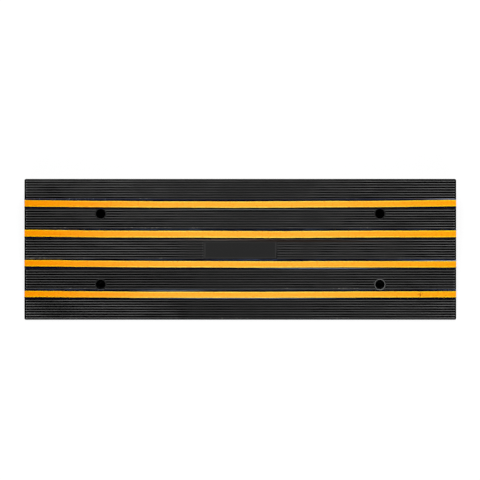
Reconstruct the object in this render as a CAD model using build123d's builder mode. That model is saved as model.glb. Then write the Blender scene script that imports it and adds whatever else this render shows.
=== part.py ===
from build123d import *
import os
from math import atan2, cos, hypot, sin, tan

# A rubber kerb ramp: a moulded wedge that is bolted to the road against a kerb, so that wheels
# can roll up it. The origin is in the middle of the footprint, on the road. +X runs along the
# kerb, +Y points at the kerb and +Z is up. Sizes are in millimetres. Heights on the sloping
# tread are measured square to it, from the plane that the rib tops lie in.

# Wedge
LENGTH = 1000.0
DEPTH = 320.0
KERB_HEIGHT = 65.0
TOE_HEIGHT = 5.0
CORNER_RADIUS = 3.0
EDGE_RADIUS = 1.2

# Tread ribs, in bands between the stripes
RIBS_PER_BAND = 8
RIB_PITCH = 5.8
RIB_HEIGHT = 2.2
RIB_FOOT_WIDTH = 3.3
RIB_SIDE_ANGLE = 82.0
RIB_EDGE_RADIUS = 1.2
RIB_ROOT = 2.0
RIB_END_GAP = 3.4
RIB_END_CHAMFER = 1.0
KERB_RIB_INSET = 5.6
TOE_RIB_INSET = 3.5
INNER_BAND_SHIFT = -0.3

# Flat land along the kerb edge, just below the rib tops
KERB_LAND_WIDTH = 2.7
KERB_LAND_DROP = 0.3
KERB_LAND_ROUND = 0.9

# Orange stripes, each bonded into a channel in a raised land
STRIPE_COUNT = 4
STRIPE_PITCH = 70.0
STRIPE_WIDTH = 15.0
STRIPE_THICKNESS = 2.6
STRIPE_PROUD = 0.4
STRIPE_EDGE_RADIUS = 0.7
SHOULDER_WIDTH = 1.0
SHOULDER_DROP = 0.4
SHOULDER_ROUND = 0.4
LAND_ROOT = 6.0
BORDER_GROOVE_WIDTH = 4.0
BORDER_GROOVE_DEPTH = 3.6

# Bare centre panel, which leaves only the uppermost rib of its band whole
PANEL_LENGTH = 166.0
PANEL_WIDTH = 38.5
PANEL_SHIFT = -1.7
PANEL_DROP = 0.5
PANEL_CORNER_RADIUS = 1.5
PANEL_EDGE_RADIUS = 0.5
PANEL_GAP = 2.0

# Bolt holes, with a steel washer and a steel bush moulded into each
HOLE_SPACING_X = 646.0
HOLE_SPACING_Y = 161.0
WELL_DIAMETER = 21.0
RIM_DIAMETER = 27.0
RIM_PROUD = 0.3
RIM_EDGE_RADIUS = 0.8
SEAT_HEIGHT = 9.0
WASHER_DIAMETER = 30.0
WASHER_THICKNESS = 3.0
WASHER_CHAMFER = 0.5
BUSH_DIAMETER = 16.0
BOLT_CLEARANCE_DIAMETER = 11.0

# Hollow pockets underneath
POCKET_COLUMNS = 12
POCKET_ROWS = 3
POCKET_CORNER_RADIUS = 5.0
WEB = 10.0
WALL = 15.0
SKIN = 14.0
LEAST_POCKET_HEIGHT = 12.0
BOSS_DIAMETER = 50.0

# The slope, and planes on it: on the tread plane X runs along the kerb and Y runs uphill, and
# on the section plane X runs uphill and Y stands square out of the tread.
slope = atan2(KERB_HEIGHT - TOE_HEIGHT, DEPTH)
slope_length = hypot(DEPTH, KERB_HEIGHT - TOE_HEIGHT)
tread_middle = (0, 0, (KERB_HEIGHT + TOE_HEIGHT) / 2)
tread = Plane(origin=tread_middle, x_dir=(1, 0, 0), z_dir=(0, -sin(slope), cos(slope)))
section = Plane(origin=tread_middle, x_dir=(0, cos(slope), sin(slope)), z_dir=(1, 0, 0))

# Wedge heights at the bottom of the grooves between the ribs
rib_rise = RIB_HEIGHT / cos(slope)
kerb_floor = KERB_HEIGHT - rib_rise
toe_floor = TOE_HEIGHT - rib_rise

# Places of the stripes and rib bands, as distances uphill from the middle of the tread
stripe_names = ("stripe_toe", "stripe_lower", "stripe_upper", "stripe_top")
stripe_places = [(i - (STRIPE_COUNT - 1) / 2) * STRIPE_PITCH for i in range(STRIPE_COUNT)]
land_width = STRIPE_WIDTH + 2 * SHOULDER_WIDTH
rib_offsets = [(i - (RIBS_PER_BAND - 1) / 2) * RIB_PITCH for i in range(RIBS_PER_BAND)]
kerb_band = slope_length / 2 - KERB_RIB_INSET - rib_offsets[-1]
toe_band = TOE_RIB_INSET + rib_offsets[-1] - slope_length / 2
stripe_gaps = zip(stripe_places, stripe_places[1:])
inner_bands = [(low + high) / 2 + INNER_BAND_SHIFT for low, high in stripe_gaps]
middle_band = inner_bands[len(inner_bands) // 2]

# Rib runs: full ones, and short ones on both sides of the panel
full_run = LENGTH - 2 * RIB_END_GAP
short_run = (full_run - PANEL_LENGTH) / 2 - PANEL_GAP
short_run_middle = (full_run - short_run) / 2
full_rib_places = []
short_rib_places = []
for band in [toe_band, *inner_bands, kerb_band]:
    for offset in rib_offsets:
        if band == middle_band and abs(offset - PANEL_SHIFT) < PANEL_WIDTH / 2:
            short_rib_places += [(side * short_run_middle, band + offset) for side in (-1, 1)]
        else:
            full_rib_places.append((0, band + offset))

# Bolt holes by name, and their places on the road and on the tread
hole_places = {
    "upper_left": (-HOLE_SPACING_X / 2, HOLE_SPACING_Y / 2),
    "upper_right": (HOLE_SPACING_X / 2, HOLE_SPACING_Y / 2),
    "lower_left": (-HOLE_SPACING_X / 2, -HOLE_SPACING_Y / 2),
    "lower_right": (HOLE_SPACING_X / 2, -HOLE_SPACING_Y / 2),
}
rim_places = [(x, y / cos(slope)) for x, y in hole_places.values()]


def tread_rib(run):
    """One tread rib along X, its top at height 0, with rounded edges and sloping ends."""
    with BuildPart() as rib:
        with BuildSketch(Plane.YZ) as profile:
            Trapezoid(RIB_FOOT_WIDTH, RIB_HEIGHT, RIB_SIDE_ANGLE, align=(Align.CENTER, Align.MAX))
            fillet(profile.vertices().group_by(Axis.Y)[-1], RIB_EDGE_RADIUS)
            with Locations((0, -RIB_HEIGHT)):
                Rectangle(RIB_FOOT_WIDTH, RIB_ROOT, align=(Align.CENTER, Align.MAX))
        extrude(amount=run / 2, both=True)
        with BuildSketch(Plane.XZ):
            with Locations((-run / 2, 0), (run / 2, 0)):
                RegularPolygon(RIB_END_CHAMFER, 4)
        extrude(amount=RIB_FOOT_WIDTH, both=True, mode=Mode.SUBTRACT)
    return rib.part


full_rib = tread_rib(full_run)
short_rib = tread_rib(short_run)

# The land along the kerb edge
with BuildPart() as kerb_land:
    with BuildSketch(Plane.YZ) as land_section:
        with BuildLine():
            land_inside = DEPTH / 2 - KERB_LAND_WIDTH
            land_top = KERB_HEIGHT - KERB_LAND_DROP / cos(slope)
            land_foot = kerb_floor - RIB_ROOT
            Polyline(
                (land_inside, land_foot),
                (DEPTH / 2, land_foot),
                (DEPTH / 2, land_top),
                (land_inside, land_top - KERB_LAND_WIDTH * tan(slope)),
                close=True,
            )
        make_face()
        fillet(land_section.vertices().sort_by(Axis.Y)[-2:], KERB_LAND_ROUND)
    extrude(amount=full_run / 2, both=True)

# The bare panel in the middle of the tread
with BuildPart() as centre_panel:
    with BuildSketch(tread.offset(-PANEL_DROP)):
        with Locations((0, middle_band + PANEL_SHIFT)):
            RectangleRounded(PANEL_LENGTH, PANEL_WIDTH, PANEL_CORNER_RADIUS)
    extrude(amount=PANEL_DROP - RIB_HEIGHT - RIB_ROOT)
    outward = Axis(tread.origin, tread.z_dir)
    fillet(centre_panel.edges().group_by(outward)[-1], PANEL_EDGE_RADIUS)

# The hollow that a bolt, its washer and its bush take out of the rubber
with BuildPart() as bolt_well:
    with BuildSketch():
        Circle(BUSH_DIAMETER / 2)
    extrude(amount=SEAT_HEIGHT - WASHER_THICKNESS)
    with BuildSketch(Plane.XY.offset(SEAT_HEIGHT - WASHER_THICKNESS)):
        Circle(WASHER_DIAMETER / 2)
    extrude(amount=WASHER_THICKNESS)
    with BuildSketch(Plane.XY.offset(SEAT_HEIGHT)):
        Circle(WELL_DIAMETER / 2)
    extrude(amount=KERB_HEIGHT)

# The pockets: a wedge under the skin, cut into a grid of cells and kept clear of the bolt bosses
skin_drop = SKIN / cos(slope)
pocket_back = DEPTH / 2 - WALL
pocket_front = (LEAST_POCKET_HEIGHT + skin_drop - toe_floor) / tan(slope) - DEPTH / 2
pocket_length = (LENGTH - 2 * WALL - (POCKET_COLUMNS - 1) * WEB) / POCKET_COLUMNS
pocket_width = (pocket_back - pocket_front - (POCKET_ROWS - 1) * WEB) / POCKET_ROWS
with BuildPart() as pocket_core:
    with BuildSketch(Plane.YZ):
        with BuildLine():
            back_height = kerb_floor - WALL * tan(slope) - skin_drop
            Polyline(
                (pocket_front, 0),
                (pocket_back, 0),
                (pocket_back, back_height),
                (pocket_front, LEAST_POCKET_HEIGHT),
                close=True,
            )
        make_face()
    extrude(amount=LENGTH / 2, both=True)
    with BuildSketch(Plane((0, (pocket_front + pocket_back) / 2, 0))):
        with GridLocations(pocket_length + WEB, pocket_width + WEB, POCKET_COLUMNS, POCKET_ROWS):
            RectangleRounded(pocket_length, pocket_width, POCKET_CORNER_RADIUS)
    extrude(amount=KERB_HEIGHT, mode=Mode.INTERSECT)
    with BuildSketch():
        with Locations(*hole_places.values()):
            Circle(BOSS_DIAMETER / 2)
    extrude(amount=KERB_HEIGHT, mode=Mode.SUBTRACT)

# The rubber wedge
with BuildPart() as ramp_body:
    with BuildSketch(Plane.YZ):
        with BuildLine():
            Polyline(
                (-DEPTH / 2, 0),
                (DEPTH / 2, 0),
                (DEPTH / 2, kerb_floor),
                (-DEPTH / 2, toe_floor),
                close=True,
            )
        make_face()
    extrude(amount=LENGTH / 2, both=True)
    fillet(ramp_body.edges().filter_by(Axis.Z), CORNER_RADIUS)
    fillet(ramp_body.faces().sort_by(Axis.Z)[-1].edges(), EDGE_RADIUS)
    # Deep grooves along both sides of each stripe, then the lands that the stripes lie in
    with BuildSketch(section):
        with Locations(*[(place, -BORDER_GROOVE_DEPTH) for place in stripe_places]):
            Rectangle(
                land_width + 2 * BORDER_GROOVE_WIDTH,
                BORDER_GROOVE_DEPTH,
                align=(Align.CENTER, Align.MIN),
            )
    extrude(amount=LENGTH / 2, both=True, mode=Mode.SUBTRACT)
    with BuildSketch(section) as lands:
        with Locations(*[(place, -SHOULDER_DROP) for place in stripe_places]):
            Rectangle(land_width, LAND_ROOT, align=(Align.CENTER, Align.MAX))
        fillet(lands.vertices().group_by(Axis.Y)[-1], SHOULDER_ROUND)
    extrude(amount=LENGTH / 2, both=True)
    # Ribs, the land along the kerb, bolt rims and the centre panel
    with Locations(tread):
        with Locations(*full_rib_places):
            add(full_rib)
        with Locations(*short_rib_places):
            add(short_rib)
    add(kerb_land.part)
    with BuildSketch(tread.offset(RIM_PROUD)):
        with Locations(*rim_places):
            Circle(RIM_DIAMETER / 2)
    extrude(amount=-RIM_PROUD - RIB_HEIGHT - RIB_ROOT)
    add(centre_panel.part)
    # Channels for the stripes, wells for the bolts and pockets underneath
    with BuildSketch(section):
        with Locations(*[(place, STRIPE_PROUD - STRIPE_THICKNESS) for place in stripe_places]):
            Rectangle(STRIPE_WIDTH, STRIPE_THICKNESS, align=(Align.CENTER, Align.MIN))
    extrude(amount=LENGTH / 2, both=True, mode=Mode.SUBTRACT)
    with Locations(*hole_places.values()):
        add(bolt_well.part, mode=Mode.SUBTRACT)
    well_mouths = ramp_body.edges().filter_by(GeomType.ELLIPSE).sort_by(SortBy.LENGTH)
    fillet(well_mouths[-len(hole_places):], RIM_EDGE_RADIUS)
    add(pocket_core.part, mode=Mode.SUBTRACT)

os.makedirs("parts", exist_ok=True)
ramp_body.part.label = "ramp_body"
export_step(ramp_body.part, "parts/ramp_body.step")

# The orange stripes
for name, place in zip(stripe_names, stripe_places):
    with BuildPart() as stripe:
        with BuildSketch(section) as strip_section:
            with Locations((place, STRIPE_PROUD)):
                Rectangle(STRIPE_WIDTH, STRIPE_THICKNESS, align=(Align.CENTER, Align.MAX))
            fillet(strip_section.vertices().group_by(Axis.Y)[-1], STRIPE_EDGE_RADIUS)
        extrude(amount=LENGTH / 2, both=True)
    stripe.part.label = name
    export_step(stripe.part, f"parts/{name}.step")

# The steel washer and bush in each bolt hole
for name, (x, y) in hole_places.items():
    with BuildPart() as seat_washer:
        with BuildSketch(Plane((x, y, SEAT_HEIGHT - WASHER_THICKNESS))):
            Circle(WASHER_DIAMETER / 2)
            Circle(BOLT_CLEARANCE_DIAMETER / 2, mode=Mode.SUBTRACT)
        extrude(amount=WASHER_THICKNESS)
        top_edges = seat_washer.edges().group_by(Axis.Z)[-1]
        chamfer(top_edges.sort_by(SortBy.RADIUS)[0], WASHER_CHAMFER)
    seat_washer.part.label = f"seat_washer_{name}"
    export_step(seat_washer.part, f"parts/seat_washer_{name}.step")

    with BuildPart() as bolt_bush:
        with BuildSketch(Plane((x, y, 0))):
            Circle(BUSH_DIAMETER / 2)
            Circle(BOLT_CLEARANCE_DIAMETER / 2, mode=Mode.SUBTRACT)
        extrude(amount=SEAT_HEIGHT - WASHER_THICKNESS)
    bolt_bush.part.label = f"bolt_bush_{name}"
    export_step(bolt_bush.part, f"parts/bolt_bush_{name}.step")
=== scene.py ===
import math
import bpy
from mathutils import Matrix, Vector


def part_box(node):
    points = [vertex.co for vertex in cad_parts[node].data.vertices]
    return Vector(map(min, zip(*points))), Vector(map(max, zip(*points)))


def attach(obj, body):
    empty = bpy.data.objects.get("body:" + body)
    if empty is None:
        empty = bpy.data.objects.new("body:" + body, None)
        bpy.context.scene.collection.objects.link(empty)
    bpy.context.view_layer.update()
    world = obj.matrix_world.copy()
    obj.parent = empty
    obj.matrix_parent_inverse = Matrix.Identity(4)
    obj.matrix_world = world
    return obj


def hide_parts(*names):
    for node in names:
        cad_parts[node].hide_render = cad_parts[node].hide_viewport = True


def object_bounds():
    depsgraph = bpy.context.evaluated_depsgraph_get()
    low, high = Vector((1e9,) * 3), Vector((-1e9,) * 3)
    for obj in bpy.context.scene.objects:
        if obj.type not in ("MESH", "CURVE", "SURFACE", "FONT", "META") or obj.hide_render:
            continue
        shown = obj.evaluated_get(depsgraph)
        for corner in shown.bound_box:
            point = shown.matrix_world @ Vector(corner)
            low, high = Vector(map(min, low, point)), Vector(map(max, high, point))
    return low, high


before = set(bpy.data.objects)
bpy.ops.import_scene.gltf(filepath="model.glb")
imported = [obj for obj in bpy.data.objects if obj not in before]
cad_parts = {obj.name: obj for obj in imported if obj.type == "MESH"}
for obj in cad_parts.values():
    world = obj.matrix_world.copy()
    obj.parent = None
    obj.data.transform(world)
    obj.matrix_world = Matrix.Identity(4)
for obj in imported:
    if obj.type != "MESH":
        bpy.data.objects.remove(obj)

from types import SimpleNamespace

import bmesh
import bpy
from bpy.props import FloatProperty, FloatVectorProperty, PointerProperty
from mathutils import Euler, Matrix, Vector

CAD_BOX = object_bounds()

bl_info = {
    "name": "Rubber kerb ramp",
    "version": (1, 0, 0),
    "blender": (4, 5, 0),
    "location": "3D View > Sidebar > Kerb ramp",
    "description": "Dresses a moulded rubber kerb ramp and sets it on a pale studio floor",
    "category": "Object",
}

MM = 0.001
BODY = "root"
STRIPES = ("stripe_top", "stripe_upper", "stripe_lower", "stripe_toe")
CORNERS = ("upper_left", "upper_right", "lower_left", "lower_right")
HARDWARE = [f"{piece}_{corner}" for piece in ("seat_washer", "bolt_bush") for corner in CORNERS]

# The photograph's frame: pixels across, the ramp's length in them, and the pixel at the middle
# of its tread
PHOTO_PIXELS = 480
RAMP_PIXELS = 432.2
MIDDLE_PIXEL = (240.3, 249.1)

# Moulded sizes that the stripes and the finishes follow
STRIPE_WIDTH = 15.0 * MM
STRIPE_THICKNESS = 2.6 * MM
STRIPE_PROUD = 0.4 * MM
STRIPE_END_GAP = 0.5 * MM
BORDER_WIDTH = 4.0 * MM
RIB_PITCH = 5.8 * MM
RIB_END_GAP = 3.4 * MM
PANEL_LENGTH = 166.0 * MM
PANEL_WIDTH = 38.5 * MM
PANEL_MIDDLE = -2.0 * MM
PANEL_DROP = 0.5 * MM
RIM_PROUD = 0.3 * MM
WELL_RADIUS = 10.5 * MM

# From the middle line of a stripe to the outer edge of its border, and to the first rib beyond it
BORDER_EDGE = STRIPE_WIDTH / 2 + BORDER_WIDTH
FIRST_RIB = BORDER_EDGE + RIB_PITCH / 2

# Thin lines beside the stripes, of dust, glue, rubbed-off orange, painted shade and painted
# highlight: the colour of each, and in mm its middle along X and uphill, its length and its width
STRIPE_LINES = {
    "dust_above_top": ("dusty_groove_colour", 10, 116.0, 620, 3.2),
    # Painted shade: a near-black line on the rubber just below the top stripe
    "shade_below_top": ("groove_shade_colour", 20, 88.8, 480, 3.6),
    # Painted highlight: a grey line on the first rib below the top stripe
    "highlight_below_top": ("edge_highlight_colour", 10, 91.8, 500, 3.6),
    "orange_below_upper": ("rub_colour", 15, 22.2, 560, 4.4),
    # Painted shade: a near-black line on the rubber below the upper stripe
    "shade_below_upper": ("groove_shade_colour", 140, 20.3, 400, 3.2),
    # Painted highlight: a grey line on the rib edge at the border's rim below the upper stripe
    "highlight_below_upper": ("edge_highlight_colour", 130, 22.8, 320, 2.6),
    "brown_below_upper": ("faint_rub_colour", 170, 18.0, 480, 4.8),
    # Painted highlight: a grey line on the first rib above the toe stripe
    "highlight_above_toe": ("edge_highlight_colour", 60, -93.6, 1100, 3.4),
    "glue_above_top": ("glue_colour", 490, 115.2, 160, 3.4),
    "glue_above_lower": ("glue_colour", 490, -26.6, 280, 5.0),
    "glue_below_lower": ("glue_colour", 190, -45.0, 400, 3.2),
    "glue_above_toe": ("glue_colour", -160, -95.8, 260, 3.2),
    "glue_above_toe_end": ("glue_colour", 490, -95.4, 70, 3.0),
    "glue_below_toe": ("glue_colour", 10, -114.6, 640, 3.4),
}

# Patches of the tread that were scrubbed clean, where the grooves are painted near black as shade,
# in mm: the middle of each along X and uphill, its length and its width
SHADED_SCRUBBED_PATCHES = {
    "left_in_panel_band": (-300, 0, 420, 80),
    "left_in_toe_band": (-270, -140, 300, 70),
    "top_right": (450, 125, 330, 150),
}

# A line or patch begins at its edge, and holds in full within this share of its half size
PATCH_CORE = 0.3

# Where the toe stripe is nicked, along X
NICKS_ALONG = 416.0 * MM

RUBBER_IOR = 1.52

# How far the floor and the dark card on it lie below the ramp, and how far the card stays inside
# the ramp's outline. The card is painted shade: it stands in for the shade under the ramp that shows through
# the bolt holes
FLOOR_DROP = 1.0 * MM
CARD_DROP = 0.5 * MM
CARD_INSET = 10.0 * MM
SHADE_CARD_COLOUR = "#0a0a0a"

# Where the two soft boxes hang, in metres
SOFT_BOXES = {"front_box": (0, -1.9, 1.2), "back_box": (0, 1.5, 1.5)}

# The sky is white below the first rise and dim above the second, as sines of the elevation
WHITE_SKY_RISE = 0.15
DIM_SKY_RISE = 0.5


def linear(code):
    """Linear colour, with full opacity, of an sRGB hex code."""
    channels = [int(code[i:i + 2], 16) / 255 for i in (1, 3, 5)]
    return [*(c / 12.92 if c <= 0.04045 else ((c + 0.055) / 1.055) ** 2.4 for c in channels), 1.0]


def box_middle(node):
    """Middle of a node's box."""
    low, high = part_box(node)
    return (low + high) / 2


# The ramp's length and depth, half its box, and in plan the bolt of the quarter where X and Y are
# positive, which the other three mirror
LENGTH, DEPTH, _ = CAD_BOX[1] - CAD_BOX[0]
HALF_BOX = (CAD_BOX[1] - CAD_BOX[0]) / 2
BOLT_IN_PLAN = box_middle("bolt_bush_upper_right") * Vector((1, 1, 0))

# The tread: its slope from the toe stripe up to the top stripe, and the middle of the plane that
# its rib tops lie in. On the tread X runs along the kerb, Y uphill and Z square out of it.
STRIPE_CLIMB = box_middle("stripe_top") - box_middle("stripe_toe")
STRIPE_PITCH = STRIPE_CLIMB.length / (len(STRIPES) - 1)
SLOPE = math.atan2(STRIPE_CLIMB.z, STRIPE_CLIMB.y)
TREAD_TURN = Euler((SLOPE, 0, 0))
STRIPES_MIDDLE = (box_middle("stripe_top") + box_middle("stripe_toe")) / 2
STRIPES_DEPTH = Vector((0, 0, STRIPE_THICKNESS / 2 - STRIPE_PROUD))
TREAD_MIDDLE = STRIPES_MIDDLE + TREAD_TURN.to_matrix() @ STRIPES_DEPTH

# What a texture mapping needs to turn Object coordinates onto the tread
ONTO_TREAD = {"Location": TREAD_MIDDLE, "Rotation": TREAD_TURN}


def colour_property(name, description, code):
    """A colour that a user can change."""
    return FloatVectorProperty(
        name=name, description=description, subtype="COLOR", size=4, default=linear(code),
    )


class RampFinish(bpy.types.PropertyGroup):
    """Colours of the rubber, the stripes and the steel."""

    skin_colour: colour_property(
        "Skin rubber", "Moulded skin of the panel, the bolt rims, the ends and the kerb face", "#282828",
    )
    # Painted shade: near black, standing in for the shade in the grooves and the bolt wells
    groove_shade_colour: colour_property(
        "Groove rubber", "Black rubber in the clean grooves and the bolt wells", "#010101",
    )
    dusty_groove_colour: colour_property(
        "Dusty grooves", "Grooves in the middle of the ramp, which hold a little dust", "#323232",
    )
    low_groove_colour: colour_property(
        "Low grooves", "Grooves below the lower stripe, which hold less dust", "#272727",
    )
    # Painted shade, tinted blue: the border sunk beside each stripe is painted blue-black
    border_shade_colour: colour_property(
        "Stripe border", "Blue-black border sunk on both sides of a stripe", "#0d1130",
    )
    film_colour: colour_property(
        "Glue film", "Thin blue film of glue in the border above a stripe", "#839bce",
    )
    border_dust_colour: colour_property(
        "Border dust", "Dust along the lower side of the border below a stripe", "#545454",
    )
    rib_skin_colour: colour_property(
        "Rib skin", "Rib tops that were little handled", "#343434",
    )
    # Rib tops greyed by handling and dust; the same grey is also a painted highlight on the rib ends left of
    # the panel
    rib_wear_and_highlight_colour: colour_property(
        "Rib rubber", "Rib tops, greyed by handling and dust", "#686868",
    )
    faint_rib_colour: colour_property(
        "Faint ribs", "Rib tops that greyed less, above the toe stripe and at the top left", "#424242",
    )
    scrubbed_rib_colour: colour_property(
        "Scrubbed ribs", "Rib tops in the patches that were scrubbed clean", "#5c5c5c",
    )
    # Painted highlight: pale rib ends, and a pale ring round the lower right bolt
    rib_end_highlight_colour: colour_property(
        "Rib ends", "Rib ends, worn palest, and the worn ring round the lower right bolt", "#7a7a7a",
    )
    bloom_colour: colour_property(
        "Bloom", "Grey bloom and scuffs on the ends, the toe and the kerb face", "#3e3e3e",
    )
    worn_edge_colour: colour_property(
        "Worn edges", "Edges of the bare panel and of the upright faces, rubbed a little paler", "#363636",
    )
    # Pale dashes on the first rib above a stripe
    pale_dash_colour: colour_property(
        "Scuffs", "Pale scuffs on the first rib above a stripe", "#8a8881",
    )
    glue_colour: colour_property(
        "Glue", "Glue squeezed out along the edges of a stripe, in lines and specks", "#93a3c2",
    )
    rub_colour: colour_property(
        "Rubbed-off orange", "Orange rubbed off onto the rubber below a stripe", "#705c54",
    )
    faint_rub_colour: colour_property(
        "Faint rub", "Brown tinge of orange rubbed off onto the first rib below a stripe", "#3e322c",
    )
    # Painted highlight: grey lines on the rib edges beside the stripes
    edge_highlight_colour: colour_property(
        "Rubbed edge", "Grey edge of the rubber below the upper stripes and above the toe stripe", "#6a7073",
    )
    stripe_colour: colour_property(
        "Stripe orange", "Orange of the bonded stripes", "#ffb238",
    )
    # Painted highlight: a yellower orange along the edges of the stripes
    stripe_edge_highlight_colour: colour_property(
        "Stripe edge", "Yellower orange along the edges of the stripes", "#ffdf54",
    )
    # Painted light: these tints deepen the orange towards the ends, so that the middle is painted paler, as
    # a pool of light with a sheen
    stripe_left_shade_tint: colour_property(
        "Left end tint", "Tint that deepens the orange towards the left end of the stripes", "#fbdc26",
    )
    stripe_right_shade_tint: colour_property(
        "Right end tint", "Tint that deepens the orange towards the right end of the stripes", "#fff124",
    )
    stripe_deep_colour: colour_property(
        "Stripe mottling", "Deeper orange in the mottling of the stripes", "#f28a14",
    )
    nick_colour: colour_property(
        "Nicks", "Brown nicks in the toe stripe", "#b3541a",
    )
    steel_colour: colour_property(
        "Black steel", "Black oxide on the washers and bushes", "#1a1a1c",
    )
    wear_seed: FloatProperty(
        name="Wear seed",
        description="Picks another pattern of worn patches on the black rubber",
        default=25.5,
    )
    gloss: FloatProperty(
        name="Gloss",
        description="Specular level of both rubbers, which is low because their skin is dull",
        default=0.02,
        min=0.0,
        max=1.0,
        subtype="FACTOR",
    )


class StripeShape(bpy.types.PropertyGroup):
    """How a bonded stripe departs from a straight bar."""

    edge_radius: FloatProperty(
        name="Edge radius",
        description="Rounding of the long top edges",
        default=0.7 * MM,
        unit="LENGTH",
    )
    step: FloatProperty(
        name="Step",
        description="Length of one mesh step along the stripe",
        default=4.0 * MM,
        unit="LENGTH",
    )
    taper: FloatProperty(
        name="Taper",
        description="Width of the underside as a share of the top, so that no side wall shows in the border",
        default=0.8,
        min=0.0,
        max=1.0,
        subtype="FACTOR",
    )
    widths: FloatVectorProperty(
        name="Widths",
        description="Width of each stripe, from the top one to the toe one",
        size=len(STRIPES),
        default=[width * MM for width in (14.5, 15.6, 14.6, 14.0)],
        unit="LENGTH",
    )
    bows: FloatVectorProperty(
        name="Bows",
        description="How far the ends of each stripe lie uphill of its middle",
        size=len(STRIPES),
        default=[bow * MM for bow in (3.3, 2.2, 1.4, 1.7)],
        unit="LENGTH",
    )
    shifts: FloatVectorProperty(
        name="Shifts",
        description="How far uphill of its channel each stripe was laid",
        size=len(STRIPES),
        default=[shift * MM for shift in (-0.7, -0.2, 0.2, -0.2)],
        unit="LENGTH",
    )
    tilts: FloatVectorProperty(
        name="Tilts",
        description="How far the right end of each stripe lies uphill of its middle, beyond its bow",
        size=len(STRIPES),
        default=[tilt * MM for tilt in (0.3, -0.7, -1.2, -0.2)],
        unit="LENGTH",
    )
    drift: FloatProperty(
        name="Drift",
        description="How far the whole stripe wanders along its channel",
        default=1.6 * MM,
        unit="LENGTH",
    )
    drift_length: FloatProperty(
        name="Drift length",
        description="Length of one wander along the stripe",
        default=200.0 * MM,
        unit="LENGTH",
    )
    ripple: FloatProperty(
        name="Ripple",
        description="How far the edges ripple",
        default=0.6 * MM,
        unit="LENGTH",
    )
    ripple_length: FloatProperty(
        name="Ripple length",
        description="Length of one ripple along the stripe",
        default=30.0 * MM,
        unit="LENGTH",
    )


class RampStage(bpy.types.PropertyGroup):
    """Floor, sky, lamps and camera."""

    lens: FloatProperty(
        name="Lens",
        description="Focal length of the camera, long so that the tread is nearly free of perspective",
        default=100.0,
        unit="CAMERA",
    )
    floor_size: FloatProperty(
        name="Floor size",
        description="Side of the pale floor",
        default=40.0,
        unit="LENGTH",
    )
    floor_colour: colour_property("Floor colour", "Colour of the pale floor", "#f2f2f2")
    floor_whiteness: FloatProperty(
        name="Floor whiteness",
        description="White that the seen floor gives by itself, 1 being plain white",
        default=0.87,
        min=0.0,
        max=1.0,
        subtype="FACTOR",
    )
    floor_shading: FloatProperty(
        name="Floor shading",
        description="Share of its lit colour, and of the shadows on it, that the seen floor keeps",
        default=0.2,
        min=0.0,
        max=1.0,
        subtype="FACTOR",
    )
    horizon_strength: FloatProperty(
        name="Horizon strength",
        description="Strength of the white sky round the horizon",
        default=1.0,
    )
    overhead_strength: FloatProperty(
        name="Overhead strength",
        description="Strength of the dim sky overhead",
        default=0.03,
    )
    lamp_power: FloatProperty(
        name="Lamp power",
        description="Power of each soft box",
        default=40.0,
        unit="POWER",
    )
    lamp_width: FloatProperty(
        name="Lamp width",
        description="Width of each soft box, along the kerb",
        default=1.6,
        unit="LENGTH",
    )
    lamp_depth: FloatProperty(
        name="Lamp depth",
        description="Depth of each soft box",
        default=0.7,
        unit="LENGTH",
    )


def add_node(tree, kind, inputs, output=0, **settings):
    """Adds a node with its settings, links or sets its inputs, and gives one of its outputs."""
    node = tree.nodes.new(kind)
    for name, value in settings.items():
        setattr(node, name, value)
    for name, value in inputs.items():
        if isinstance(value, bpy.types.NodeSocket):
            tree.links.new(value, node.inputs[name])
        else:
            node.inputs[name].default_value = value
    return node.outputs[output] if node.outputs else None


def new_material(name):
    """A material with an empty node tree, and its tree."""
    material = bpy.data.materials.new(name)
    material.use_nodes = True
    material.node_tree.nodes.clear()
    return material, material.node_tree


def grain_patterns(tree, place, seed=0.0, **sizes):
    """Noise patterns by name, each with grains of a real size in mm along the three axes."""
    patterns = {}
    for name, size in sizes.items():
        scale = [1 / (s * MM) for s in size]
        scaled = add_node(
            tree, "ShaderNodeMapping", {"Vector": place, "Location": (seed, 0, 0), "Scale": scale},
        )
        patterns[name] = add_node(
            tree, "ShaderNodeTexNoise", {"Vector": scaled, "Scale": 1.0, "Detail": 3.0},
        )
    return patterns


def layered_colour(tree, ground, spans, layers, blend="MIX"):
    """A ground colour with others laid over it, each where all the spans that it names hold.

    A span gives a value on the surface, where the span begins, and where it holds in full.
    """
    masks = {}
    for name, (value, begins, holds) in spans.items():
        masks[name] = add_node(
            tree, "ShaderNodeMapRange",
            {"Value": value, "From Min": begins, "From Max": holds},
            interpolation_type="SMOOTHSTEP",
        )
    colour = ground
    for names, over in layers:
        first, *others = names.split()
        mask = masks[first]
        for name in others:
            mask = add_node(tree, "ShaderNodeMath", {0: mask, 1: masks[name]}, operation="MULTIPLY")
        colour = add_node(
            tree, "ShaderNodeMix", {0: mask, 6: colour, 7: over}, 2, data_type="RGBA", blend_type=blend,
        )
    return colour


def patch_distance(tree, tread, middle, line, length, width):
    """Distance on the tread from the middle of a patch, given in mm, as a share of its half size."""
    shrink = Vector((2 / length, 2 / width, 0)) / MM
    centre = Vector((middle, line, 0)) * MM * shrink
    shrunk = add_node(tree, "ShaderNodeVectorMath", {0: tread, 1: shrink}, operation="MULTIPLY")
    return add_node(tree, "ShaderNodeVectorMath", {0: shrunk, 1: centre}, "Value", operation="DISTANCE")


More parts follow.
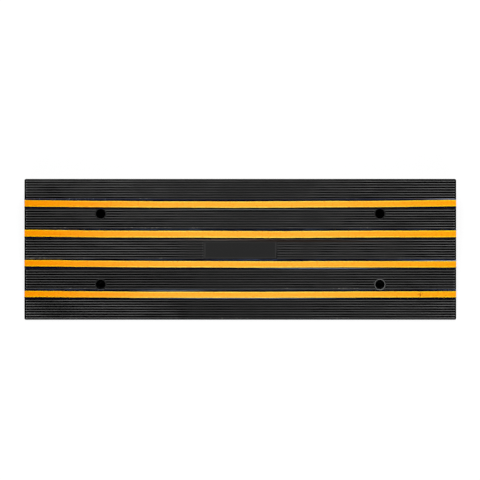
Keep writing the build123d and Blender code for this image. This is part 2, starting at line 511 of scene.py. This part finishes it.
def places_on_tread(tree, tread):
    """Places along, uphill and square out of the tread, and distances on it from its forms."""
    along, uphill, height = add_node(tree, "ShaderNodeSeparateXYZ", {0: tread}).node.outputs
    from_middle = add_node(tree, "ShaderNodeMath", {0: along}, operation="ABSOLUTE")
    off_panel = add_node(tree, "ShaderNodeMath", {0: uphill, 1: PANEL_MIDDLE}, operation="SUBTRACT")
    off_panel = add_node(tree, "ShaderNodeMath", {0: off_panel}, operation="ABSOLUTE")
    off_low_band = add_node(tree, "ShaderNodeMath", {0: uphill, 1: STRIPE_PITCH}, operation="ADD")
    off_low_band = add_node(tree, "ShaderNodeMath", {0: off_low_band}, operation="ABSOLUTE")

    # Distance uphill of the nearest stripe, and either way from it
    half_pitch = STRIPE_PITCH / 2
    above_stripe = add_node(tree, "ShaderNodeMath", {0: uphill, 1: half_pitch}, operation="SUBTRACT")
    above_stripe = add_node(
        tree, "ShaderNodeMath", {0: above_stripe, 1: half_pitch, 2: -half_pitch}, operation="WRAP",
    )
    from_stripe = add_node(tree, "ShaderNodeMath", {0: above_stripe}, operation="ABSOLUTE")
    return {
        "along": along, "uphill": uphill, "height": height,
        "from_middle": from_middle, "off_panel": off_panel, "off_low_band": off_low_band,
        "above_stripe": above_stripe, "from_stripe": from_stripe,
    }


def places_in_plan(tree, place):
    """Distances in plan from the nearest bolt and corner, and 1 on the four upright faces."""
    plan = add_node(tree, "ShaderNodeVectorMath", {0: place, 1: (1, 1, 0)}, operation="MULTIPLY")
    plan = add_node(tree, "ShaderNodeVectorMath", {0: plan}, operation="ABSOLUTE")
    from_bolt = add_node(
        tree, "ShaderNodeVectorMath", {0: plan, 1: BOLT_IN_PLAN}, "Value", operation="DISTANCE",
    )
    inside = add_node(tree, "ShaderNodeVectorMath", {0: HALF_BOX, 1: plan}, operation="SUBTRACT")
    from_end, from_side, _ = add_node(tree, "ShaderNodeSeparateXYZ", {0: inside}).node.outputs
    from_face = add_node(tree, "ShaderNodeMath", {0: from_end, 1: from_side}, operation="MINIMUM")
    from_corner = add_node(tree, "ShaderNodeMath", {0: from_end, 1: from_side}, operation="MAXIMUM")
    face_depth = 0.02 * MM
    upright = add_node(tree, "ShaderNodeMath", {0: from_face, 1: face_depth}, operation="LESS_THAN")
    return {"from_bolt": from_bolt, "from_corner": from_corner, "upright": upright}


def wear_and_shade_reach(tree, at, wear_noise):
    """How far handling reaches, and how far the painted shade in the grooves reaches.

    Wear grows towards the ends in patches. The painted groove shade reaches further on the left, most of all
    at the bottom left, and on the right it reaches furthest at the top.
    """
    # Shares of the places along and uphill that are added to the wear, and to the reach of the painted
    # groove shade
    more_handled_left = -0.03
    groove_shade_left = -0.25
    groove_shade_below = -0.7
    groove_shade_top_right = 3.0
    wear = add_node(tree, "ShaderNodeMath", {0: wear_noise, 1: at.from_middle}, operation="ADD")
    handling = add_node(
        tree, "ShaderNodeMath", {0: at.along, 1: more_handled_left, 2: wear}, operation="MULTIPLY_ADD",
    )
    lean = add_node(
        tree, "ShaderNodeMath", {0: at.along, 1: groove_shade_top_right, 2: groove_shade_below},
        operation="MULTIPLY_ADD",
    )
    groove_shade_reach = add_node(
        tree, "ShaderNodeMath", {0: at.along, 1: groove_shade_left, 2: wear}, operation="MULTIPLY_ADD",
    )
    groove_shade_reach = add_node(tree, "ShaderNodeMath", {0: at.uphill, 1: lean, 2: groove_shade_reach}, operation="MULTIPLY_ADD")
    return handling, groove_shade_reach


def shared_spans(tree, at, noise):
    """Spans that several zones name: levels and stretches of the tread, and patterns of wear."""
    # Sunk far below the tread on the upright faces, so that nothing on the tread reaches them
    tread_height = add_node(
        tree, "ShaderNodeMath", {0: at.upright, 1: -LENGTH, 2: at.height}, operation="MULTIPLY_ADD",
    )
    spans = {
        "rib_top": (at.height, -0.2 * MM, -0.02 * MM),
        "below_rim": (at.height, 0.8 * RIM_PROUD, 0.3 * RIM_PROUD),
        "sunk": (at.height, -0.06 * MM, -0.22 * MM),
        "on_tread": (tread_height, -7.0 * MM, -4.0 * MM),
        "right_half": (at.along, -1 * MM, 1 * MM),
        "left_stretch": (at.along, -0.28 * LENGTH, -0.36 * LENGTH),
        "low_half": (at.uphill, 1 * MM, -1 * MM),
        "high_half": (at.uphill, -1 * MM, 1 * MM),
        "above": (at.above_stripe, 0, 1 * MM),
        "toned": (noise["tone"], 0.15, 0.62),
        "patched": (noise["patch"], 0.54, 0.62),
        "dashed": (noise["dash"], 0.52, 0.66),
    }
    return spans, []


def upright_faces(at, noise, finish):
    """The ends, the toe and the kerb face: a grey bloom, worn edges and faint scuffs."""
    spans = {
        "upright": (at.upright, 0, 1),
        "bloomed": (noise["patch"], 0.4, 0.75),
        "corner": (at.from_corner, 5 * MM, 1 * MM),
        "top_edge": (at.height, -6 * MM, -2 * MM),
    }
    layers = [
        ("upright bloomed", finish.bloom_colour),
        ("upright corner", finish.worn_edge_colour),
        ("upright top_edge", finish.worn_edge_colour),
        ("upright patched dashed", finish.bloom_colour),
    ]
    return spans, layers


def grooves(at, groove_shade_reach, finish):
    """The grooves: a little dust, less of it low down, and painted near-black shade where it reaches."""
    spans = {
        "low_bands": (at.uphill, -0.3 * STRIPE_PITCH, -0.6 * STRIPE_PITCH),
        "sheltered": (groove_shade_reach, 0.56 * LENGTH, 0.87 * LENGTH),
    }
    layers = [
        ("sunk on_tread", finish.dusty_groove_colour),
        ("sunk on_tread low_bands", finish.low_groove_colour),
        # Painted shade: near black in the grooves where the shade reaches
        ("sunk on_tread sheltered", finish.groove_shade_colour),
    ]
    return spans, layers


def bare_panel(at, finish):
    """The panel in the middle: bare skin, a little paler along its edges."""
    spans = {
        "on_panel": (at.height, -PANEL_DROP - 0.25 * MM, -PANEL_DROP - 0.1 * MM),
        "panel_length": (at.from_middle, PANEL_LENGTH / 2 + 7 * MM, PANEL_LENGTH / 2 + 4 * MM),
        "panel_width": (at.off_panel, PANEL_WIDTH / 2 + 0.6 * MM, PANEL_WIDTH / 2 + 0.2 * MM),
        "panel_end": (at.from_middle, PANEL_LENGTH / 2 - 3 * MM, PANEL_LENGTH / 2 - 1.5 * MM),
        "panel_side": (at.off_panel, PANEL_WIDTH / 2 - 2.5 * MM, PANEL_WIDTH / 2 - 1.2 * MM),
    }
    layers = [
        ("on_panel panel_length panel_width", finish.skin_colour),
        ("on_panel panel_length panel_width panel_end", finish.worn_edge_colour),
        ("on_panel panel_length panel_width panel_side", finish.worn_edge_colour),
    ]
    return spans, layers


def rib_tops(at, handling, finish):
    """The rib tops: greyed by handling, and less so above the toe stripe and at the top left."""
    spans = {
        "handled": (handling, 0.37 * LENGTH, 1.3 * LENGTH),
        "low_band": (at.off_low_band, 0.5 * STRIPE_PITCH, 0.3 * STRIPE_PITCH),
    }
    layers = [
        ("rib_top below_rim", finish.rib_skin_colour),
        ("rib_top below_rim toned handled", finish.rib_wear_and_highlight_colour),
        ("rib_top below_rim toned handled low_band", finish.faint_rib_colour),
        ("rib_top below_rim toned handled high_half left_stretch", finish.faint_rib_colour),
    ]
    return spans, layers


def shaded_scrubbed_patches(tree, tread, finish):
    """The patches that were scrubbed clean: grooves painted near black as shade, between pale rib tops."""
    spans = {}
    layers = []
    for name, patch in SHADED_SCRUBBED_PATCHES.items():
        spans[name] = (patch_distance(tree, tread, *patch), 1.0, PATCH_CORE)
        # Painted shade: near black in the grooves of the patch
        layers.append((f"sunk on_tread {name}", finish.groove_shade_colour))
        layers.append((f"rib_top below_rim toned {name}", finish.scrubbed_rib_colour))
    return spans, layers


def rib_highlights_and_dashes(at, finish):
    """Painted highlights on the rib ends, at the ends of the ramp and left of the panel, and pale dashes on
    the first rib above a stripe.
    """
    rib_end = LENGTH / 2 - RIB_END_GAP
    spans = {
        "rib_end": (at.from_middle, rib_end - 4 * MM, rib_end - 1 * MM),
        "left_of_panel": (at.along, PANEL_LENGTH / -2 + 3 * MM, PANEL_LENGTH / -2),
        "near_panel": (at.from_middle, PANEL_LENGTH / 2 + 7 * MM, PANEL_LENGTH / 2 - 1 * MM),
        "beside_stripe": (at.from_stripe, FIRST_RIB + 2 * MM, FIRST_RIB),
    }
    layers = [
        # Painted highlight on the rib ends at both ends of the ramp
        ("rib_top below_rim rib_end", finish.rib_end_highlight_colour),
        # Painted highlight on the rib ends just left of the panel
        ("rib_top below_rim left_of_panel near_panel panel_width", finish.rib_wear_and_highlight_colour),
        # Pale dashes on the first rib above a stripe
        ("rib_top below_rim beside_stripe above patched dashed", finish.pale_dash_colour),
    ]
    return spans, layers


def stripe_borders(at, noise, finish):
    """The borders beside the stripes: painted blue-black shade, with a film and specks of glue, and dust."""
    spans = {
        "in_border": (at.from_stripe, BORDER_EDGE + 0.6 * MM, BORDER_EDGE - 0.6 * MM),
        "border_floor": (at.height, -1.0 * MM, -1.6 * MM),
        "border_top": (at.above_stripe, BORDER_EDGE - 3.1 * MM, BORDER_EDGE - 1.9 * MM),
        "border_foot": (at.above_stripe, 1.6 * MM - BORDER_EDGE, 0.6 * MM - BORDER_EDGE),
        "above_rib": (at.above_stripe, -BORDER_EDGE - 1.5 * MM, -BORDER_EDGE - 0.9 * MM),
        "above_toe": (at.uphill, -1.5 * STRIPE_PITCH, -1.4 * STRIPE_PITCH),
        "filmed": (noise["patch"], 0.3, 0.7),
        "specked": (noise["speck"], 0.58, 0.66),
    }
    layers = [
        # Painted shade, tinted blue, over the whole border
        ("on_tread in_border", finish.border_shade_colour),
        ("sunk on_tread border_foot above_rib above_toe", finish.border_dust_colour),
        ("border_floor on_tread in_border border_top filmed", finish.film_colour),
        ("on_tread in_border above high_half left_stretch specked", finish.glue_colour),
    ]
    return spans, layers


def stripe_lines(tree, tread, finish):
    """The thin lines of dust, glue, rubbed-off colour, painted shade and painted highlight beside the
    stripes.
    """
    spans = {}
    layers = []
    for name, (colour, *patch) in STRIPE_LINES.items():
        spans[name] = (patch_distance(tree, tread, *patch), 1.0, PATCH_CORE)
        layers.append((f"on_tread {name}", getattr(finish, colour)))
    return spans, layers


def bolt_holes(at, finish):
    """The bolt holes: wells painted black as shade, and a painted highlight on a ring round the lower right
    one.
    """
    spans = {
        "rim_inside": (at.from_bolt, WELL_RADIUS + 0.6 * MM, WELL_RADIUS + 1.0 * MM),
        "rim_outside": (at.from_bolt, WELL_RADIUS + 1.9 * MM, WELL_RADIUS + 1.5 * MM),
        "in_well": (at.from_bolt, WELL_RADIUS + 0.8 * MM, WELL_RADIUS + 0.4 * MM),
    }
    layers = [
        # Painted highlight: a pale ring round the lower right bolt
        ("on_tread rim_inside rim_outside right_half low_half", finish.rib_end_highlight_colour),
        # Painted shade: the wells are painted near black
        ("in_well", finish.groove_shade_colour),
    ]
    return spans, layers


def moulded_rubber(finish):
    """Compression-moulded black rubber, dull and finely grained.

    Its rib tops are greyed by handling, most of all towards the ends of the ramp. The grooves are
    painted deep black there as shade, and hold a little dust in the middle. Rib ends and the rib edges
    beside the stripes carry painted highlights, and the bolt wells painted shade.
    """
    material, tree = new_material("moulded_rubber")
    place = add_node(tree, "ShaderNodeTexCoord", {}, "Object")
    tread = add_node(tree, "ShaderNodeMapping", {"Vector": place, **ONTO_TREAD}, vector_type="TEXTURE")
    at = SimpleNamespace(**places_on_tread(tree, tread), **places_in_plan(tree, place))
    # The grain of the skin is drawn coarser than the real one, so that it shows close up
    noise = grain_patterns(
        tree, tread, finish.wear_seed,
        tone=(90, RIB_PITCH / MM, 20),
        wear=(90, 60, 60),
        patch=(130, 30, 30),
        dash=(7, 2.5, 9),
        speck=(4, 4, 4),
        skin=(0.8, 0.8, 0.8),
    )
    handling, groove_shade_reach = wear_and_shade_reach(tree, at, noise["wear"])
    zones = (
        shared_spans(tree, at, noise),
        upright_faces(at, noise, finish),
        grooves(at, groove_shade_reach, finish),
        bare_panel(at, finish),
        rib_tops(at, handling, finish),
        shaded_scrubbed_patches(tree, tread, finish),
        rib_highlights_and_dashes(at, finish),
        stripe_borders(at, noise, finish),
        stripe_lines(tree, tread, finish),
        bolt_holes(at, finish),
    )
    spans = {}
    layers = []
    for zone_spans, zone_layers in zones:
        spans.update(zone_spans)
        layers.extend(zone_layers)
    colour = layered_colour(tree, finish.skin_colour, spans, layers)
    roughness = add_node(
        tree, "ShaderNodeMapRange", {"Value": noise["tone"], "To Min": 0.3, "To Max": 0.48},
    )
    bump = add_node(
        tree, "ShaderNodeBump", {"Height": noise["skin"], "Strength": 0.3, "Distance": 0.05 * MM},
    )
    shader = add_node(tree, "ShaderNodeBsdfPrincipled", {
        "Base Color": colour, "Roughness": roughness, "IOR": RUBBER_IOR,
        "Specular IOR Level": finish.gloss, "Normal": bump,
    })
    add_node(tree, "ShaderNodeOutputMaterial", {"Surface": shader})
    return material


def orange_rubber(finish):
    """Pigmented rubber strip, finely mottled, with a painted highlight in yellower orange along its edges.

    The middle is painted paler, as a pool of light with a sheen, and the ends are painted a deeper orange,
    the left end most of all.
    """
    material, tree = new_material("orange_rubber")
    place = add_node(tree, "ShaderNodeTexCoord", {}, "Object")
    tread = add_node(tree, "ShaderNodeMapping", {"Vector": place, **ONTO_TREAD}, vector_type="TEXTURE")
    along = add_node(tree, "ShaderNodeSeparateXYZ", {0: tread}, "X")
    across = add_node(tree, "ShaderNodeAttribute", {}, "Fac", attribute_name="across")
    from_centre_line = add_node(tree, "ShaderNodeMath", {0: across}, operation="ABSOLUTE")
    nicks = Vector((NICKS_ALONG, -1.5 * STRIPE_PITCH, 0))
    from_nicks = add_node(tree, "ShaderNodeVectorMath", {0: tread, 1: nicks}, "Value", operation="DISTANCE")
    # The grain of the skin is drawn coarser than the real one, so that it shows close up
    noise = grain_patterns(
        tree, tread,
        mottling=(4.5, 3.0, 3.0),
        streak=(120, 2.6, 5),
        skin=(0.9, 0.9, 0.9),
    )
    edge = STRIPE_WIDTH / 2
    spans = {
        "edge": (from_centre_line, edge - 3.0 * MM, edge - 1.5 * MM),
        "mottled": (noise["mottling"], 0.42, 0.9),
        "streaked": (noise["streak"], 0.45, 1.0),
        "nicked": (from_nicks, 8 * MM, 4 * MM),
        "nick": (noise["mottling"], 0.54, 0.6),
    }
    colour = layered_colour(tree, finish.stripe_colour, spans, (
        # Painted highlight along the edges
        ("edge", finish.stripe_edge_highlight_colour),
        ("mottled", finish.stripe_deep_colour),
        ("streaked", finish.stripe_deep_colour),
        ("nicked nick", finish.nick_colour),
    ))
    # Painted light: the ends are painted a deeper orange than the paler middle
    ends = {
        "left_end": (along, -0.1 * LENGTH, -0.5 * LENGTH),
        "right_end": (along, 0.1 * LENGTH, 0.6 * LENGTH),
    }
    colour = layered_colour(tree, colour, ends, (
        ("left_end", finish.stripe_left_shade_tint),
        ("right_end", finish.stripe_right_shade_tint),
    ), "MULTIPLY")
    roughness = add_node(
        tree, "ShaderNodeMapRange", {"Value": noise["mottling"], "To Min": 0.34, "To Max": 0.5},
    )
    bump = add_node(
        tree, "ShaderNodeBump", {"Height": noise["skin"], "Strength": 0.4, "Distance": 0.08 * MM},
    )
    shader = add_node(tree, "ShaderNodeBsdfPrincipled", {
        "Base Color": colour, "Roughness": roughness, "IOR": RUBBER_IOR,
        "Specular IOR Level": finish.gloss, "Normal": bump,
    })
    add_node(tree, "ShaderNodeOutputMaterial", {"Surface": shader})
    return material


def black_oxide_steel(finish):
    """Hot-blacked steel: near black, with a soft uneven gleam."""
    material, tree = new_material("black_oxide_steel")
    place = add_node(tree, "ShaderNodeTexCoord", {}, "Object")
    noise = grain_patterns(tree, place, bloom=(3, 3, 3))
    roughness = add_node(
        tree, "ShaderNodeMapRange", {"Value": noise["bloom"], "To Min": 0.35, "To Max": 0.65},
    )
    shader = add_node(tree, "ShaderNodeBsdfPrincipled", {
        "Base Color": finish.steel_colour, "Metallic": 1.0, "Roughness": roughness,
    })
    add_node(tree, "ShaderNodeOutputMaterial", {"Surface": shader})
    return material


def pale_floor(stage):
    """Matt white floor. Where it is seen it gives most of its white itself, and keeps faint shadows."""
    material, tree = new_material("pale_floor")
    rays = add_node(tree, "ShaderNodeLightPath", {}).node.outputs
    seen = rays["Is Camera Ray"]
    for ray in ("Is Glossy Ray", "Is Transmission Ray"):
        seen = add_node(tree, "ShaderNodeMath", {0: seen, 1: rays[ray]}, operation="MAXIMUM")
    dimmed = [*(Vector(stage.floor_colour[:3]) * stage.floor_shading), 1.0]
    colour = add_node(
        tree, "ShaderNodeMix", {0: seen, 6: stage.floor_colour, 7: dimmed}, 2, data_type="RGBA",
    )
    lit = add_node(tree, "ShaderNodeBsdfDiffuse", {"Color": colour})
    whiteness = add_node(tree, "ShaderNodeMath", {0: seen, 1: stage.floor_whiteness}, operation="MULTIPLY")
    white = add_node(tree, "ShaderNodeEmission", {"Strength": whiteness})
    both = add_node(tree, "ShaderNodeAddShader", {0: lit, 1: white})
    add_node(tree, "ShaderNodeOutputMaterial", {"Surface": both})
    return material


def shade_card_material():
    """Matt black card, which gives no light back, standing in for the shade under the ramp."""
    material, tree = new_material("shade_card_material")
    shader = add_node(tree, "ShaderNodeBsdfDiffuse", {"Color": linear(SHADE_CARD_COLOUR)})
    add_node(tree, "ShaderNodeOutputMaterial", {"Surface": shader})
    return material


def dress(piece, material):
    """Gives a piece its finished material."""
    piece.data.materials.clear()
    piece.data.materials.append(material)


def pick_edges(piece, wanted):
    """Selects, in edit mode, the edges whose two end points pass a test."""
    bpy.ops.mesh.select_mode(type="EDGE")
    bpy.ops.mesh.select_all(action="DESELECT")
    mesh = bmesh.from_edit_mesh(piece.data)
    for edge in mesh.edges:
        edge.select_set(wanted(*(point.co for point in edge.verts)))
    bmesh.update_edit_mesh(piece.data)


def runs_along_kerb(first, second):
    """True for an edge that runs along X."""
    return abs(first.x - second.x) > 10 * max(abs(first.y - second.y), abs(first.z - second.z))


def straight_stripe(context, shape):
    """A straight bar along X with its top at height 0, in short steps, its top edges rounded.

    Each point keeps its place across the bar in the attribute across.
    """
    bpy.ops.object.select_all(action="DESELECT")
    bpy.ops.mesh.primitive_cube_add(size=1, location=(0, 0, -STRIPE_THICKNESS / 2))
    bar = context.object
    bar.scale = (LENGTH - 2 * STRIPE_END_GAP, STRIPE_WIDTH, STRIPE_THICKNESS)
    bpy.ops.object.transform_apply(location=True, rotation=True, scale=True)
    bpy.ops.object.mode_set(mode="EDIT")

    # One subdivision takes at most 100 cuts, so the length is cut coarsely first, and then each part
    coarse_parts = 10
    fine_parts = round(LENGTH / shape.step / coarse_parts)
    for parts in (coarse_parts, fine_parts):
        pick_edges(bar, runs_along_kerb)
        bpy.ops.mesh.subdivide(number_cuts=parts - 1)

    top_line = -STRIPE_THICKNESS / 4
    pick_edges(bar, lambda a, b: runs_along_kerb(a, b) and min(a.z, b.z) > top_line)
    bpy.ops.mesh.bevel(offset=shape.edge_radius, segments=3, affect="EDGES")
    bottom_line = -STRIPE_THICKNESS * 3 / 4
    pick_edges(bar, lambda a, b: max(a.z, b.z) < bottom_line)
    bpy.ops.transform.resize(value=(1, shape.taper, 1), center_override=(0, 0, 0))
    bpy.ops.object.mode_set(mode="OBJECT")
    across = bar.data.attributes.new("across", "FLOAT", "POINT")
    across.data.foreach_set("value", [point.co.y for point in bar.data.vertices])
    return bar


def bow_stripe(context, stripe, bow):
    """Bends a bar along X into the arc whose ends lie the given distance towards +Y."""
    modifier = stripe.modifiers.new("bow", "SIMPLE_DEFORM")
    modifier.deform_method = "BEND"
    modifier.deform_axis = "Z"
    # The rise of a shallow arc is an eighth of its length times its angle
    modifier.angle = 8 * bow / LENGTH
    context.view_layer.objects.active = stripe
    bpy.ops.object.modifier_apply(modifier=modifier.name)


def lay_on_tread(context, stripe, shape, i):
    """Gives a bowed stripe its width and tilt, and lays it on the tread in its channel."""
    # A bowed bar lies a third of its bow uphill of its middle on the whole, so it is laid that much lower
    mean_bow = shape.bows[i] / 3
    uphill = ((len(STRIPES) - 1) / 2 - i) * STRIPE_PITCH + shape.shifts[i] - mean_bow
    tread = TREAD_TURN.to_matrix()
    tilt = Matrix.Rotation(math.atan2(shape.tilts[i], LENGTH / 2), 3, "Z")
    stripe.scale.y = shape.widths[i] / STRIPE_WIDTH
    stripe.rotation_euler = (tread @ tilt).to_euler()
    stripe.location = TREAD_MIDDLE + tread @ Vector((0, uphill, STRIPE_PROUD))
    bpy.ops.object.select_all(action="DESELECT")
    stripe.select_set(True)
    context.view_layer.objects.active = stripe
    bpy.ops.object.transform_apply(location=True, rotation=True, scale=True)


def wander(context, stripe, name, amount, wavelength):
    """Lets a smooth noise of the given wavelength push a stripe to and fro along Y."""
    noise = bpy.data.textures.new(name, "CLOUDS")
    noise.noise_scale = wavelength
    noise.noise_depth = 1
    modifier = stripe.modifiers.new(name, "DISPLACE")
    modifier.texture = noise
    modifier.texture_coords = "LOCAL"
    modifier.direction = "Y"
    modifier.strength = amount
    modifier.mid_level = 0.5
    context.view_layer.objects.active = stripe
    bpy.ops.object.modifier_apply(modifier=modifier.name)
    bpy.data.textures.remove(noise)


class KERBRAMP_OT_rubber_body(bpy.types.Operator):
    """Give the wedge its moulded rubber"""

    bl_idname = "kerb_ramp.rubber_body"
    bl_label = "Rubber body"

    def execute(self, context):
        dress(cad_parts["ramp_body"], moulded_rubber(context.scene.ramp_finish))
        return {"FINISHED"}


class KERBRAMP_OT_stripes(bpy.types.Operator):
    """Lay the four orange stripes in their channels"""

    bl_idname = "kerb_ramp.stripes"
    bl_label = "Orange stripes"

    def execute(self, context):
        shape = context.scene.stripe_shape
        material = orange_rubber(context.scene.ramp_finish)
        bar = straight_stripe(context, shape)
        for i, node in enumerate(STRIPES):
            stripe = bar.copy()
            stripe.data = bar.data.copy()
            stripe.name = f"orange_{node}"
            context.collection.objects.link(stripe)
            bow_stripe(context, stripe, shape.bows[i])
            lay_on_tread(context, stripe, shape, i)
            wander(context, stripe, "drift", shape.drift, shape.drift_length)
            wander(context, stripe, "ripple", shape.ripple, shape.ripple_length)
            bpy.ops.object.shade_smooth_by_angle(angle=math.radians(35))
            dress(stripe, material)
            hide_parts(node)
            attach(stripe, BODY)
        bpy.data.objects.remove(bar)
        return {"FINISHED"}


class KERBRAMP_OT_hardware(bpy.types.Operator):
    """Give the washers and bushes their black steel"""

    bl_idname = "kerb_ramp.hardware"
    bl_label = "Steel hardware"

    def execute(self, context):
        material = black_oxide_steel(context.scene.ramp_finish)
        for name in HARDWARE:
            dress(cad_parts[name], material)
        return {"FINISHED"}


def lay_floor(context, stage):
    """The pale floor, and a dark card under the ramp, standing in for the shade there, that keeps the bolt
    holes black.
    """
    bpy.ops.mesh.primitive_plane_add(size=stage.floor_size, location=(0, 0, -FLOOR_DROP))
    floor = context.object
    floor.name = "floor"
    dress(floor, pale_floor(stage))

    bpy.ops.mesh.primitive_plane_add(size=1, location=(0, 0, -CARD_DROP))
    card = context.object
    card.name = "shade_card"
    card.scale = (LENGTH - 2 * CARD_INSET, DEPTH - 2 * CARD_INSET, 1)
    dress(card, shade_card_material())


def hang_sky(context, stage):
    """A studio sky: white round the horizon, dim overhead."""
    world = bpy.data.worlds.new("studio")
    context.scene.world = world
    world.use_nodes = True
    tree = world.node_tree
    tree.nodes.clear()
    ray = add_node(tree, "ShaderNodeTexCoord", {}, "Generated")
    rise = add_node(tree, "ShaderNodeSeparateXYZ", {0: ray}, "Z")
    strength = add_node(tree, "ShaderNodeMapRange", {
        "Value": rise, "From Min": WHITE_SKY_RISE, "From Max": DIM_SKY_RISE,
        "To Min": stage.horizon_strength, "To Max": stage.overhead_strength,
    })
    sky = add_node(tree, "ShaderNodeBackground", {"Strength": strength})
    add_node(tree, "ShaderNodeOutputWorld", {"Surface": sky})


def hang_soft_box(context, stage, name, place):
    """A soft box turned at the ramp."""
    bpy.ops.object.light_add(type="AREA", location=place)
    lamp = context.object
    lamp.name = name
    lamp.data.shape = "RECTANGLE"
    lamp.data.size = stage.lamp_width
    lamp.data.size_y = stage.lamp_depth
    lamp.data.energy = stage.lamp_power
    lamp.rotation_euler = (TREAD_MIDDLE - lamp.location).to_track_quat("-Z", "Y").to_euler()
    lamp.visible_camera = False


def set_camera(context, stage):
    """A camera square on to the tread, at the distance and offset of the photograph's frame."""
    pixel = LENGTH / RAMP_PIXELS
    bpy.ops.object.camera_add()
    camera = context.object
    camera.name = "camera"
    camera.data.lens = stage.lens
    distance = PHOTO_PIXELS * pixel * camera.data.lens / camera.data.sensor_width
    right = (PHOTO_PIXELS / 2 - MIDDLE_PIXEL[0]) * pixel
    up = (MIDDLE_PIXEL[1] - PHOTO_PIXELS / 2) * pixel
    camera.location = TREAD_MIDDLE + TREAD_TURN.to_matrix() @ Vector((right, up, distance))
    camera.rotation_euler = TREAD_TURN
    context.scene.camera = camera


class KERBRAMP_OT_stage(bpy.types.Operator):
    """Set the floor, the sky, the lamps and the camera"""

    bl_idname = "kerb_ramp.stage"
    bl_label = "Studio stage"

    def execute(self, context):
        stage = context.scene.ramp_stage
        context.scene.view_settings.view_transform = "Standard"
        bpy.ops.object.select_all(action="DESELECT")
        lay_floor(context, stage)
        hang_sky(context, stage)
        for name, place in SOFT_BOXES.items():
            hang_soft_box(context, stage, name, place)
        set_camera(context, stage)
        return {"FINISHED"}


class KERBRAMP_PT_panel(bpy.types.Panel):
    """Lists the ramp's settings and operators"""

    bl_idname = "KERBRAMP_PT_panel"
    bl_label = "Kerb ramp"
    bl_space_type = "VIEW_3D"
    bl_region_type = "UI"
    bl_category = "Kerb ramp"

    def draw(self, context):
        for name in SETTINGS:
            settings = getattr(context.scene, name)
            for setting in settings.__annotations__:
                self.layout.prop(settings, setting)
        for operator in OPERATORS:
            self.layout.operator(operator.bl_idname)


SETTINGS = {"ramp_finish": RampFinish, "stripe_shape": StripeShape, "ramp_stage": RampStage}
OPERATORS = (
    KERBRAMP_OT_rubber_body,
    KERBRAMP_OT_stripes,
    KERBRAMP_OT_hardware,
    KERBRAMP_OT_stage,
)
CLASSES = (*SETTINGS.values(), *OPERATORS, KERBRAMP_PT_panel)


def register():
    for cls in CLASSES:
        bpy.utils.register_class(cls)
    for name, group in SETTINGS.items():
        setattr(bpy.types.Scene, name, PointerProperty(type=group))


def unregister():
    for name in SETTINGS:
        delattr(bpy.types.Scene, name)
    for cls in reversed(CLASSES):
        bpy.utils.unregister_class(cls)


def main():
    register()
    bpy.ops.kerb_ramp.rubber_body()
    bpy.ops.kerb_ramp.stripes()
    bpy.ops.kerb_ramp.hardware()
    bpy.ops.kerb_ramp.stage()


if __name__ == "__main__":
    main()
